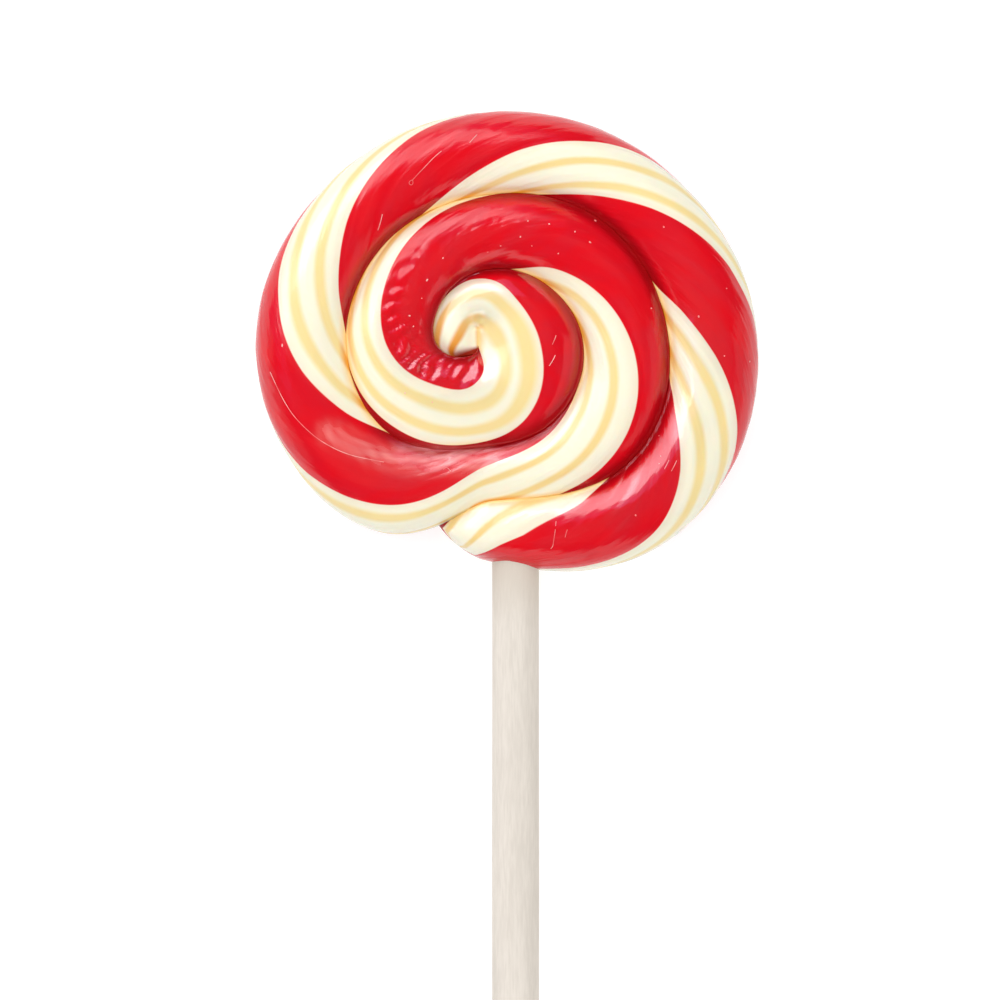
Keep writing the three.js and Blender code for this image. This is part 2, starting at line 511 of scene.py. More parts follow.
chance = np.random.default_rng(3)
kind_height = chance.uniform(*KIND_HEIGHTS, WRINKLE_KINDS)
kind_break = chance.uniform(0, WRINKLE_BREAK, WRINKLE_KINDS)
into_red = np.minimum(turned % HALF_TURN - cream_width, HALF_TURN - turned % HALF_TURN)
on_red = smoothstep(into_red, 0, RED_EASE)
wrinkle_ring = by_station(WRINKLE_RING)
leaning = station + WRINKLE_LEAN * (ring_angle - LEAN_FROM)
leaning += add_waves(0, station, STEP_WAVES) + add_waves(0, ring_angle, LEAN_WAVES)

kind = np.floor((leaning - WRINKLE_FIRST) / WRINKLE_STEP).astype(int) % WRINKLE_KINDS
crest = np.abs(wave(leaning - WRINKLE_FIRST, 2 * WRINKLE_STEP)) * kind_height[kind]
crest *= fading(BREAK_DEPTH, wave(ring_angle + kind_break[kind], WRINKLE_BREAK))
wrinkled = between(WRINKLE_STATIONS) * bell((ring_angle - wrinkle_ring) / WRINKLE_WIDTH) * on_red
relief += by_station(WRINKLE_DEPTH) * (crest - WRINKLE_LEVEL) * wrinkled
tell_share("wrinkled:", wrinkled)

# %% Puckers
PUCKER_STATIONS = (405, 440, 540, 575)
PUCKER_ASIDE = {440: 10, 486: 16}  # degrees round the ring from the wrinkles
PUCKER_DEPTH = 0.08
PUCKER_WIDTH = 8.5
PUCKER_STEP = 4.9
PUCKER_ACROSS = 12
PUCKER_WAVES = ((1.3, 21),)
WARP_ALONG = ((3, 17),)
WARP_ASLANT = ((2, 9.5),)

warped = add_waves(ring_angle, station, WARP_ALONG)
warped = add_waves(warped, station + ring_angle, WARP_ASLANT)
pucker = wave(add_waves(leaning, ring_angle, PUCKER_WAVES), PUCKER_STEP) * wave(warped, PUCKER_ACROSS)
pucker_ring = wrinkle_ring + by_station(PUCKER_ASIDE)
puckered = between(PUCKER_STATIONS) * bell((ring_angle - pucker_ring) / PUCKER_WIDTH)
relief += PUCKER_DEPTH * pucker * puckered * on_red
tell_share("puckered:", puckered * on_red)

# %% Ridges of pulling
PULL_DEPTH = {  # station: height of the ridges
    -90: 0.0, -65: 0.026, -10: 0.026, 20: 0.006, 200: 0.006, 225: 0.012, 290: 0.008, 420: 0.005,
    560: 0.0,
}
PULL_STEP = 11  # degrees round the rod from one ridge to the next
PULL_WAVES = ((4, 41), (2, 13))
PULL_FADE = 0.4
PULL_FADE_STEP = 2.3 * PULL_STEP
PULL_FADE_WAVES = ((9, 29),)

pulled = wave(add_waves(turned, station, PULL_WAVES), PULL_STEP)
pulled *= fading(PULL_FADE, wave(add_waves(turned, station, PULL_FADE_WAVES), PULL_FADE_STEP))
relief += by_station(PULL_DEPTH) * (pulled - 1)
print("relief from", round(float(relief.min()), 2), "to", round(float(relief.max()), 2), "mm")

# %% [markdown]
# ## Gloss along the rope
#
# The sugar isn't equally glossy everywhere. It shines most at its outer end and at the foot,
# where it was pressed last and with the warmest hands. Up to the hook only the rope's top is
# glossy, because its sides lay against other turns. The gold threads get their width here too:
# they were pulled thinner where the rope was stretched.

# %% Gloss and the width of the threads
GLOSS = {  # station: share of the clear coat
    -96: 0.05, -72: 0.3, -50: 1.0, -5: 1.0, 30: 0, 190: 0, 225: 0.5, 280: 0.5, 300: 0,
    400: 0.05, 480: 0.25, 520: 0.6, 560: 0.8, 600: 0.8, 640: 0.7, 690: 0.05, 740: 0.05, 780: 0.6,
    830: 0.6, 860: 0, 966: 0,
}
GLOSS_RING = (60, 92)  # degrees round the ring where the gloss begins and is full
GLOSS_UNTIL = {60: 118, 150: 128}  # station: where on the ring it begins to fade
GLOSS_FADE = 20
HOOK_FROM = 700
THREAD_WIDTH = {  # station: where a thread fades out, as a share of the cream band
    -96: 0.08, -70: 0.09, -45: 0.13, 20: 0.13, 60: 0.10, 120: 0.10, 170: 0.14, 230: 0.13, 260: 0.09,
    320: 0.09, 380: 0.12, 450: 0.14, 700: 0.14, 760: 0.11, 966: 0.10,
}

gloss_ends = by_station(GLOSS_UNTIL)
on_top = smoothstep(ring_angle, *GLOSS_RING)
on_top *= 1 - smoothstep(ring_angle, gloss_ends, gloss_ends + GLOSS_FADE)
gloss = by_station(GLOSS) * np.where(station < HOOK_FROM, on_top, 1)
tell_share("glossy:", gloss)

# %% [markdown]
# ## Coiling the rope
#
# No operator presses neighbouring turns flat against each other, so the rings are laid on the
# coil by the rules above. Where two turns meet, each is stopped just past their shared groove,
# and the bottom of the groove is filled with a small round, because hot sugar flows together.
# In the hook a little of it ran into a pool.
#
# Only the coiled rope shows which skin another turn covers, and which was scuffed beside the
# dent, where the red also gets a painted sheen. Both go to the material as attributes, together
# with the gloss.

# %% Coiling the rope
COIL_X = -3.8644  # the coil's middle in the part's frame
COIL_Y = 61.4932
OVERLAP = 0.12  # how far two turns run into each other where they touch
GROOVE_FILL = {800: 2.2, 860: 3.2, 930: 3.6}  # groove angle: sides this close in height flow together
POOL = np.array([(-3.2, -0.9), (0.0, -0.6), (0.0, 1.4)])  # where sugar ran together in the hook
POOL_TOP = 8.0
POOL_WIDTH = (0.5, 1.9)  # full up to here beside the line, and gone from there
POOL_SOFTNESS = 1.0
CUT_BULGE = 0.5  # how far the end faces stand out


def beside_line(place, line):
    """The distance of places from a line through a few points."""
    nearest = np.full(len(place), np.inf)
    for begin, end in zip(line[:-1], line[1:]):
        reached = np.clip(((place - begin) @ (end - begin)) / np.sum((end - begin) ** 2), 0, 1)
        gap = place - begin - reached[:, None] * (end - begin)
        nearest = np.minimum(nearest, np.linalg.norm(gap, axis=1))
    return nearest


section = section_at(station)
cos_ring = outward * from_axis
sin_ring = np.sin(np.radians(ring_angle)) * from_axis
swell = 1 + relief / ROPE_RADIUS
reach = np.where(cos_ring > 0, section["outside"], section["inside"])
across = cos_ring * reach * swell
past = np.maximum(0, np.abs(across) - section["half"])
stopped = np.sign(across) * (section["half"] + OVERLAP * (1 - np.exp(-past / OVERLAP)))
free_side = (cos_ring > 0) & (station < FREE_UNTIL - FREE_FADE)
across = np.where((past > 0) & ~free_side, stopped, across)

up = section["axis"] + sin_ring * section["height"] * swell
mirrored = np.clip(2 * section["half"] - np.abs(across), 0, reach)
neighbour = section["axis"] + section["height"] * np.sqrt(1 - (mirrored / reach) ** 2)
groove_angle = np.where(cos_ring > 0, station, station + 360)
fill = from_table(GROOVE_FILL, groove_angle)
closeness = np.maximum(0, 1 - np.abs(up - neighbour) / fill)
up = np.maximum(0, up + np.where((sin_ring > 0) & ~free_side, fill * closeness**2 / 4, 0))

flat = section["middle"] + section["out"] * across[:, None]
forward = np.stack([section["out"][:, 1], -section["out"][:, 0]], -1)  # towards the outer end
flat += forward * (CUT_BULGE * (1 - from_axis**2) * np.sign(0.5 - along))[:, None]

in_pool = (1 - smoothstep(beside_line(flat, POOL), *POOL_WIDTH)) * (sin_ring > 0)
below = POOL_TOP - up
up += in_pool * (below + np.sqrt(below**2 + POOL_SOFTNESS**2)) / 2
move_points(candy, np.column_stack([flat[:, 0] + COIL_X, flat[:, 1] + COIL_Y, up]) * MM)
print("coil box:", (points_of(candy).min(0) / MM).round(1), (points_of(candy).max(0) / MM).round(1))

# %% Covered skin, and scuffed skin with a painted sheen
COVERED = (259, 269)  # the outer end begins to lie on the second turn, and lies on all of it
# the scuffed band beside the dent; its mask also paints a pale sheen on the red
SCUFF_AND_SHEEN = np.array([(-19.5, -11.6), (-16.0, -13.4), (-12.8, -14.8), (-9.0, -15.4), (1.0, -15.2)])
SCUFF_AND_SHEEN_WIDTH = (0.0, 2.8)  # full on that line, which follows the dent, and gone from there
SCUFF_AND_SHEEN_FADE = 0.25
SCUFF_AND_SHEEN_FADE_STEP = 13
SCUFF_AND_SHEEN_FADE_WAVES = ((5, 19),)

covered = np.where(cos_ring > 0, smoothstep(station, *COVERED), 1)
groove = (np.abs(across) / section["half"]) * covered  # 0 on top of the rope, 1 in the groove
# scuffed skin, which is rougher and also carries a painted sheen
scuff_and_sheen = (1 - smoothstep(beside_line(flat, SCUFF_AND_SHEEN), *SCUFF_AND_SHEEN_WIDTH)) * (sin_ring > 0)
scuff_and_sheen *= fading(SCUFF_AND_SHEEN_FADE, wave(add_waves(ring_angle, station, SCUFF_AND_SHEEN_FADE_WAVES), SCUFF_AND_SHEEN_FADE_STEP))
store(candy, "finish", np.stack([gloss, by_station(THREAD_WIDTH), scuff_and_sheen], -1))
store(candy, "groove", groove)
store(candy, "station", station)
tell_share("scuffed:", scuff_and_sheen)

# %% [markdown]
# ## Hands and the cooling table
#
# Boiled sugar is never quite smooth: it is pressed by hand and cools unevenly, and the light on
# it shows every soft dent. Displace modifiers with cloud textures make large and small dents, and
# crumpled skin where the hook was pinched off. Vertex groups keep them off the flat back, and
# they are applied at once, so the mesh itself carries the shape.

# %% Dents in the shown side
FLAT_UP_TO = 1.5  # mm above the table
DENTED_FROM = 5.0
PINCH = (-1.6, -3.6)  # from the coil's middle
PINCH_WIDTH = 2.4
LEVELS = 10  # steps of weight in a vertex group

above_table = points_of(candy)[:, 2] / MM
shown_side = smoothstep(above_table, FLAT_UP_TO, DENTED_FROM)
pinched = shown_side * on_red * bell(np.hypot(*(flat - PINCH).T) / PINCH_WIDTH)
DENTS = {  # size and strength in mm, finer layers, the share that lies under the surface, and where
    "large_dents": (5.0, 0.16, 2, 0.5, shown_side),
    "small_dents": (1.5, 0.035, 2, 0.5, shown_side),
    "pinched_dents": (1.2, 0.5, 0, 0.68, pinched),
}
select_only(candy)
for name, (size, strength, finer, under, weights) in DENTS.items():
    group = candy.vertex_groups.new(name=name)
    for level in range(1, LEVELS + 1):
        chosen = np.nonzero(np.round(weights * LEVELS) == level)[0]
        group.add(chosen.tolist(), level / LEVELS, "REPLACE")
    texture = bpy.data.textures.new(name, "CLOUDS")
    texture.noise_scale = size * MM
    texture.noise_depth = finer
    bpy.ops.object.modifier_add(type="DISPLACE")
    dent = candy.modifiers[-1]
    dent.texture = texture
    dent.texture_coords = "LOCAL"
    dent.strength = strength * MM
    dent.mid_level = under
    dent.vertex_group = group.name
    bpy.ops.object.modifier_apply(modifier=dent.name)
bpy.ops.object.shade_smooth()
candy.vertex_groups.clear()
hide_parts("candy_coil")
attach(candy, "root")
print("height now", round(float(points_of(candy)[:, 2].max()) / MM, 2), "mm")

# %% [markdown]
# ## Bubbles
#
# A few bubbles came up to the surface and burst or set as tiny blisters. One blister is
# modelled from a small ball, pressed flat, and copied to its places. The places are counted in
# millimetres from the coil's middle, and each blister is lowered onto the candy below it.

# %% Finding the candy's surface
SEARCH = 0.45  # mm round a place
NEAREST = 4  # so many points are compared, and the highest counts
STEEPEST = 0.3  # least upward share of a normal

surface_place = points_of(candy)
surface_normal = read_rows(candy.data.vertex_normals, "vector").astype(float)


def surface_above(x, y):
    """The candy's top surface at a place in mm from the coil's middle, and its normal."""
    aside = np.hypot(surface_place[:, 0] / MM - COIL_X - x, surface_place[:, 1] / MM - COIL_Y - y)
    near = np.nonzero(aside < SEARCH)[0]
    nearest = near[np.argsort(aside[near])[:NEAREST]]
    i = nearest[np.argmax(surface_place[nearest, 2])]
    tilt = surface_normal[i]
    place = np.array([(COIL_X + x) * MM, (COIL_Y + y) * MM, surface_place[i, 2]])
    gap = surface_place[i] - place
    place[2] += (gap[0] * tilt[0] + gap[1] * tilt[1]) / max(STEEPEST, tilt[2])
    return Vector(place), Vector(tilt)


# %% The bubbles
BUBBLES = [  # x, y and radius in mm
    (15.5, 16.4, 0.20), (12.8, 14.9, 0.12), (14.8, 13.5, 0.15), (5.6, 14.2, 0.12), (7.1, 13.0, 0.10),
    (9.4, 15.9, 0.12), (6.6, 16.3, 0.10), (24.5, 15.5, 0.14), (22.9, 4.8, 0.12), (29.1, 3.7, 0.14),
    (32.8, 7.4, 0.10), (-9.0, 3.8, 0.13), (-8.5, 2.4, 0.11), (-6.7, 8.5, 0.16), (20.8, -22.5, 0.14),
    (32.5, -1.5, 0.10), (35.9, -2.2, 0.10), (-25.8, -0.1, 0.16), (-4.6, 11.4, 0.12), (3.0, 13.0, 0.10),
    (1.3, 12.2, 0.09), (10.6, 12.0, 0.10), (-9.6, -6.4, 0.12), (-6.0, -7.6, 0.10), (-7.4, 6.1, 0.09),
    (23.9, -12.0, 0.09), (24.1, -14.7, 0.09), (23.9, -15.7, 0.08),
]
FLATNESS = 0.55
SUNK = 0.25  # how far a blister's middle lies under the surface, as a share of its radius
STRETCHED = (0.8, 1.5)  # least and most, one way

random.seed(7)
select_nothing()
bpy.ops.mesh.primitive_ico_sphere_add(subdivisions=2, radius=1)
blister = bpy.context.object
bpy.ops.object.mode_set(mode="EDIT")
bpy.ops.transform.resize(value=(1, 1, FLATNESS), center_override=(0, 0, 0))
bpy.ops.object.mode_set(mode="OBJECT")
copies = []
for x, y, radius in BUBBLES:
    place, normal = surface_above(x, y)
    copy = blister.copy()
    copy.data = blister.data.copy()
    bpy.context.collection.objects.link(copy)
    copy.location = place - normal * radius * SUNK * MM
    copy.rotation_mode = "QUATERNION"
    copy.rotation_quaternion = normal.to_track_quat("Z", "Y")
    stretch = random.uniform(*STRETCHED)
    copy.scale = (radius * stretch * MM, radius / stretch * MM, radius * MM)
    copies.append(copy)
bpy.data.objects.remove(blister)


def join(pieces, name):
    """Joins copies into one piece whose place is in its mesh."""
    select_nothing()
    for piece in pieces:
        piece.select_set(True)
    bpy.context.view_layer.objects.active = pieces[0]
    bpy.ops.object.join()
    bpy.ops.object.transform_apply(location=True, rotation=True, scale=True)
    bpy.ops.object.shade_smooth()
    joined = bpy.context.object
    joined.name = name
    return joined


bubbles = join(copies, "bubbles")
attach(bubbles, "root")
print("bubbles:", len(BUBBLES), "with", len(bubbles.data.polygons), "faces")

# %% [markdown]
# ## Threads of sugar
#
# Where the rope left the hands, it drew a few hair-thin threads, which fell back on the candy.
# Each is a short tube: a line through a few points on the surface, given a round section by the
# curve's bevel and then turned into a mesh.

# %% The threads
THREADS = [  # points in mm from the coil's middle
    [(-4.8, 25.5), (-5.7, 24.8), (-6.8, 23.6), (-7.9, 22.5), (-8.6, 21.7)],
    [(-8.6, 21.7), (-9.0, 21.6), (-9.1, 21.2), (-8.8, 21.0), (-8.5, 21.2), (-8.6, 21.7)],
    [(-12.6, 17.2), (-12.8, 16.2), (-13.2, 15.1)],
    [(-0.1, 27.7), (-0.5, 27.3), (-1.1, 26.6)],
    [(10.3, -23.3), (10.2, -24.6), (10.0, -25.7), (9.9, -26.7), (9.6, -26.9)],
    [(11.8, -24.4), (11.6, -24.9), (11.5, -25.4)],
    [(25.5, -16.7), (25.9, -16.0), (26.2, -15.3)],
    [(24.6, -16.4), (25.0, -15.7), (25.2, -15.2)],
    [(9.4, -2.8), (9.9, -2.1), (10.2, -1.4)],
    [(9.8, 0.0), (10.1, 0.6), (10.3, 1.2)],
    [(-4.6, -16.5), (-4.3, -16.2), (-3.9, -16.3), (-3.6, -16.7)],
    [(-27.4, -3.6), (-26.6, -5.4), (-25.6, -7.4), (-24.4, -9.3), (-22.9, -10.9), (-21.2, -12.4),
     (-19.0, -13.7), (-16.8, -14.6), (-14.5, -15.1), (-12.4, -15.5)],
]
THREAD_RADIUS = 0.045
THREAD_LIFT = 0.02  # its middle lies this far above the candy


def sugar_thread(points):
    """A hair-thin tube that lies on the candy along a few points."""
    curve = bpy.data.curves.new("thread", "CURVE")
    curve.dimensions = "3D"
    curve.bevel_depth = THREAD_RADIUS * MM
    curve.bevel_resolution = 1
    curve.use_fill_caps = True
    curve.resolution_u = 4
    spline = curve.splines.new("NURBS")
    spline.points.add(len(points) - 1)
    spline.order_u = 3
    spline.use_endpoint_u = True
    for point, (x, y) in zip(spline.points, points):
        place, normal = surface_above(x, y)
        point.co = (*(place + normal * THREAD_LIFT * MM), 1)
    thread = bpy.data.objects.new("thread", curve)
    bpy.context.collection.objects.link(thread)
    select_only(thread)
    bpy.ops.object.convert(target="MESH")
    return bpy.context.object


threads = join([sugar_thread(points) for points in THREADS], "sugar_threads")
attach(threads, "root")
print("threads:", len(THREADS), "with", len(threads.data.polygons), "faces")

# %% [markdown]
# ## The paper stick
#
# The stick is a strip of paper rolled tightly on itself. From outside that shows as one fine
# step along its whole length, where the strip ends, and as rings in its end face. A rod is cut
# into rings for its slight waviness, the strip's edge is a step in its radius, and the ends get
# their layers by a row of insets that go in and out.

# %% The paper stick
STICK_SIDES = 72
STICK_RINGS = (7, 10)
STICK_EASE = 0.15  # the worn edge at its ends
LAYER = 0.26
LAYER_DEPTH = 0.05
LAYERS = 10
SEAM_SIDE = 103  # degrees round the stick from +X, towards the top
SEAM_STEP = 0.10
WAVINESS = 0.03
WAVE_LENGTH = 9.0  # mm along the stick for one radian of its wave
SHARP_FROM = 30  # degrees between two faces

stick_low, stick_high = (np.array(corner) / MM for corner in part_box("stick"))
stick_middle = (stick_low + stick_high) / 2
stick_radius = (stick_high[0] - stick_low[0]) / 2
stick_length = stick_high[1] - stick_low[1]

stick = rod_along_y("paper_stick", STICK_SIDES, stick_radius - WAVINESS, stick_length - 2 * STICK_EASE)
edit_end_faces(stick)
bpy.ops.mesh.inset(thickness=STICK_EASE * MM, depth=STICK_EASE * MM)
for layer in range(LAYERS):
    bpy.ops.mesh.inset(thickness=LAYER * MM, depth=LAYER_DEPTH * MM * (-1 if layer % 2 == 0 else 1))
bpy.ops.object.mode_set(mode="OBJECT")
cut_into_rings(stick, STICK_RINGS)

place = points_of(stick) / MM
angle = np.degrees(np.arctan2(place[:, 2], place[:, 0]))
wound = ((angle - SEAM_SIDE) % 360) / 360
wavy = np.sin(place[:, 1] / WAVE_LENGTH) * np.cos(np.radians(angle * 2)) * WAVINESS / 2
scale = 1 + (wavy - SEAM_STEP * wound) / stick_radius
place[:, [0, 2]] *= scale[:, None]
move_points(stick, (place + stick_middle) * MM)
select_only(stick)
bpy.ops.object.shade_smooth_by_angle(angle=math.radians(SHARP_FROM))
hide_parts("stick")
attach(stick, "root")
print("stick:", round(stick_length, 1), "mm long,", round(2 * stick_radius, 2), "mm thick")

# %% [markdown]
# ## Colours and finish
#
# Materials are node trees, and a small helper keeps them readable: each line adds one node or
# one sum. Colours are written as a screen shows them and changed to the values that light uses.

# %% A small helper for node trees


def rgb(red, green, blue):
    """A colour given as a screen shows it, 0 to 255, as the linear values that a node takes."""
    shares = [v / 255 for v in (red, green, blue)]
    linear = [v / 12.92 if v <= 0.04045 else ((v + 0.055) / 1.055) ** 2.4 for v in shares]
    return (*linear, 1.0)


class Tree:
    """Adds nodes to one node tree and joins them, so that a material reads like a recipe."""

    def __init__(self, tree):
        self.tree = tree

    def add(self, kind, values=None, **settings):
        node = self.tree.nodes.new(kind)
        for name, value in settings.items():
            setattr(node, name, value)
        for name, value in (values or {}).items():
            self.put(node.inputs[name], value)
        return node

    def put(self, socket, value):
        if isinstance(value, bpy.types.NodeSocket):
            self.tree.links.new(value, socket)
        else:
            socket.default_value = value

    def put_all(self, node, *values):
        for socket, value in zip(node.inputs, values):
            self.put(socket, value)
        return node.outputs

    def math(self, operation, a, b=0.0, c=0.0):
        return self.put_all(self.add("ShaderNodeMath", operation=operation), a, b, c)[0]

    def step(self, value, low, high, start=0.0, end=1.0):
        """Goes smoothly from start to end while value goes from low to high."""
        node = self.add("ShaderNodeMapRange", interpolation_type="SMOOTHSTEP")
        return self.put_all(node, value, low, high, start, end)[0]

    def blend(self, share, first, second):
        node = self.add("ShaderNodeMix", data_type="RGBA")
        for socket, value in ((0, share), (6, first), (7, second)):
            self.put(node.inputs[socket], value)
        return node.outputs[2]

    def noise(self, place, scale, detail):
        values = {"Vector": place, "Scale": scale, "Detail": detail}
        return self.add("ShaderNodeTexNoise", values).outputs["Fac"]

    def bump(self, height, strength, distance, over=None):
        values = {"Height": height, "Strength": strength, "Distance": distance}
        if over is not None:
            values["Normal"] = over
        return self.add("ShaderNodeBump", values).outputs["Normal"]

    def attribute(self, name, output="Fac"):
        return self.add("ShaderNodeAttribute", attribute_name=name).outputs[output]

    def split(self, vector):
        return self.add("ShaderNodeSeparateXYZ", {0: vector}).outputs


def new_material(name):
    material = bpy.data.materials.new(name)
    material.use_nodes = True
    material.node_tree.nodes.clear()
    return material, Tree(material.node_tree)


def finish_material(material, t, values, *pieces):
    """Ends a material in a surface with these values, and gives it to pieces."""
    surface = t.add("ShaderNodeBsdfPrincipled", values)
    t.add("ShaderNodeOutputMaterial", {"Surface": surface.outputs[0]})
    for piece in pieces:
        piece.data.materials.append(material)
    print(material.name, "has", len(material.node_tree.nodes), "nodes")


# %% [markdown]
# ## Uneven surfaces
#
# Candy and paper are uneven in the same way: broad soft patches with a fine grain on top. This
# effect is a node group with its own scales, so every material can use it. It gives a patch
# value for colour or gloss, and a height for bump.

# %% The uneven surface group
NOISE_RANGE = (0.35, 0.65)  # most of a noise's values lie between these

uneven = bpy.data.node_groups.new("uneven surface", "ShaderNodeTree")
uneven.interface.new_socket("Vector", in_out="INPUT", socket_type="NodeSocketVector")
for label in ("Patch Scale", "Grain Scale", "Grain Share"):
    uneven.interface.new_socket(label, in_out="INPUT", socket_type="NodeSocketFloat")
for label in ("Patches", "Height"):
    uneven.interface.new_socket(label, in_out="OUTPUT", socket_type="NodeSocketFloat")
t = Tree(uneven)
given = t.add("NodeGroupInput").outputs
patches = t.noise(given["Vector"], given["Patch Scale"], detail=2.0)
grain = t.noise(given["Vector"], given["Grain Scale"], detail=4.0)
mixed = t.math("MULTIPLY_ADD", t.math("SUBTRACT", grain, patches), given["Grain Share"], patches)
t.add("NodeGroupOutput", {"Patches": t.step(patches, *NOISE_RANGE), "Height": mixed})


def uneven_surface(t, place, patch_scale, grain_scale, grain_share):
    node = t.add("ShaderNodeGroup", node_tree=uneven)
    outputs = t.put_all(node, place, patch_scale, grain_scale, grain_share)
    return outputs["Patches"], outputs["Height"]


# %% [markdown]
# ## The striped sugar
#
# The rope's pattern is read from its attributes. The arctangent of the place in the untwisted
# rod gives the angle round it, and the remainder after half a turn gives the place in one pair
# of bands. Down in the grooves the colours carry painted shade: cream and its threads turn to
# amber, less at the thin outer end, and red darkens. The groove bottoms get a painted glow of
# light. The hook's threads turn amber towards its tip, and the tip's end turns dark red-brown.
#
# Pulling left the sugar streaky along the stripes. Its gloss is a smooth coat over a rougher
# body and follows the streaks, except on the hook, which was drawn smooth. Scuffed red is dull,
# and its milky pink is a painted sheen. Some light goes through the sugar itself.

# %% The candy's pattern
BORDER_SOFTNESS = 0.8  # degrees round the rod
BORDER_TINT = (-14.0, -1.0)  # degrees into the red, so both lie in the cream
THREAD_CORE = 0.25  # share of a thread's width that is all gold

sugar, t = new_material("striped sugar")
where = t.attribute("rod", "Vector")
x, y, _ = t.split(where)
width, low, high = t.split(t.attribute("bands", "Vector"))
phase = t.math("FLOORED_MODULO", t.math("DEGREES", t.math("ARCTAN2", y, x)), HALF_TURN)
half_red = t.math("MULTIPLY", width, 0.5)
red_middle = t.math("SUBTRACT", HALF_TURN, half_red)
from_red = t.math("ADD", t.math("SUBTRACT", phase, red_middle), QUARTER_TURN)
off = t.math("SUBTRACT", t.math("FLOORED_MODULO", from_red, HALF_TURN), QUARTER_TURN)
into_red = t.math("SUBTRACT", half_red, t.math("ABSOLUTE", off))
is_red = t.step(into_red, -BORDER_SOFTNESS, BORDER_SOFTNESS)
at_border = t.step(into_red, *BORDER_TINT)
share = t.math("DIVIDE", phase, t.math("SUBTRACT", HALF_TURN, width))
from_threads = [t.math("ABSOLUTE", t.math("SUBTRACT", share, thread)) for thread in (low, high)]
nearest = t.math("MINIMUM", *from_threads)
gloss, thread_width, scuff_and_sheen = t.split(t.attribute("finish", "Vector"))
is_gold = t.step(nearest, t.math("MULTIPLY", thread_width, THREAD_CORE), thread_width, 1.0, 0.0)

# %% The candy's colours
RED = rgb(221, 8, 26)
RED_MILKY = rgb(214, 16, 34)
# painted shade: red down in the grooves
RED_SHADED = rgb(150, 6, 12)
# painted sheen: the pale pink of scuffed red beside the dent
RED_PAINTED_SHEEN = rgb(240, 150, 142)
CREAM = rgb(243, 238, 216)
CREAM_AT_BORDER = rgb(241, 230, 208)
# painted shade: cream down in the grooves
CREAM_SHADED = rgb(240, 200, 135)
GOLD = rgb(241, 219, 157)
GOLD_PULLED = rgb(236, 206, 138)
AMBER = rgb(222, 142, 36)
TIP_RED_BROWN = rgb(170, 50, 26)
BLACK = rgb(0, 0, 0)
# painted light: the colours with which the bottoms of the grooves glow
AMBER_PAINTED_LIGHT = rgb(92, 70, 22)
RED_PAINTED_LIGHT = rgb(64, 5, 5)
CREAM_SHADE_DEPTHS = (0.80, 1.0)  # shares of the way into a groove
RED_SHADE_DEPTHS = (0.68, 1.0)
PAINTED_GLOW_DEPTHS = (0.92, 1.0)
THIN_END = (-80.0, 20.0)  # stations
THIN_AMBER = 0.3  # share of the amber that is left there
AMBER_TIP = (800.0, 930.0)
TIP_RED_BROWN_STATIONS = (909.0, 930.0)
FINE_THREAD = (0.07, 0.12)
PAINTED_SHEEN_SHARES = (0.3, 0.7)  # of scuffed red, between the streaks and on them
STRETCH = 0.18  # how much less often streaks change along the stripes than across them

depth = t.attribute("groove")
place_along = t.attribute("station")
# painted shade down in the grooves: cream and its threads turn amber, less at the thin outer end
groove_shade = t.step(depth, *CREAM_SHADE_DEPTHS)
cream = t.blend(at_border, CREAM, CREAM_AT_BORDER)
cream = t.blend(groove_shade, cream, CREAM_SHADED)
gold = t.blend(t.step(thread_width, *FINE_THREAD), GOLD_PULLED, GOLD)
shaded_amber = t.math("MULTIPLY", groove_shade, t.step(place_along, *THIN_END, THIN_AMBER, 1.0))
gold = t.blend(t.math("MAXIMUM", shaded_amber, t.step(place_along, *AMBER_TIP)), gold, AMBER)
cream = t.blend(is_gold, cream, gold)
# the tip's cream turns dark red-brown towards its end
cream = t.blend(t.step(place_along, *TIP_RED_BROWN_STATIONS), cream, TIP_RED_BROWN)
patches, height = uneven_surface(t, where, patch_scale=1.6, grain_scale=14.0, grain_share=0.25)
stretched = t.add("ShaderNodeMapping", {"Vector": where, "Scale": (1.0, 1.0, STRETCH)}).outputs[0]
streaks, streak_height = uneven_surface(t, stretched, patch_scale=3.6, grain_scale=12.0, grain_share=0.15)
red = t.blend(patches, RED, RED_MILKY)
# painted shade: red darkens down in the grooves
red = t.blend(t.step(depth, *RED_SHADE_DEPTHS), red, RED_SHADED)
# painted sheen on the scuffed red, broken by the streaks
painted_sheen = t.math("MULTIPLY", scuff_and_sheen, t.step(streaks, 0.0, 1.0, *PAINTED_SHEEN_SHARES))
red = t.blend(painted_sheen, red, RED_PAINTED_SHEEN)
colour = t.blend(is_red, cream, red)
# painted light: the groove bottoms glow amber under cream and dark red under red, so they don't go black
painted_glow = t.blend(t.step(depth, *PAINTED_GLOW_DEPTHS), BLACK, t.blend(is_red, AMBER_PAINTED_LIGHT, RED_PAINTED_LIGHT))

# %% The candy's skin
BEFORE_HOOK = (560.0, 625.0)
COAT = (0.5, 1.0)  # between the streaks and on them
ROUGHNESS = (0.08, 0.20)
SCUFFED_ROUGHNESS = 0.34  # is added to it

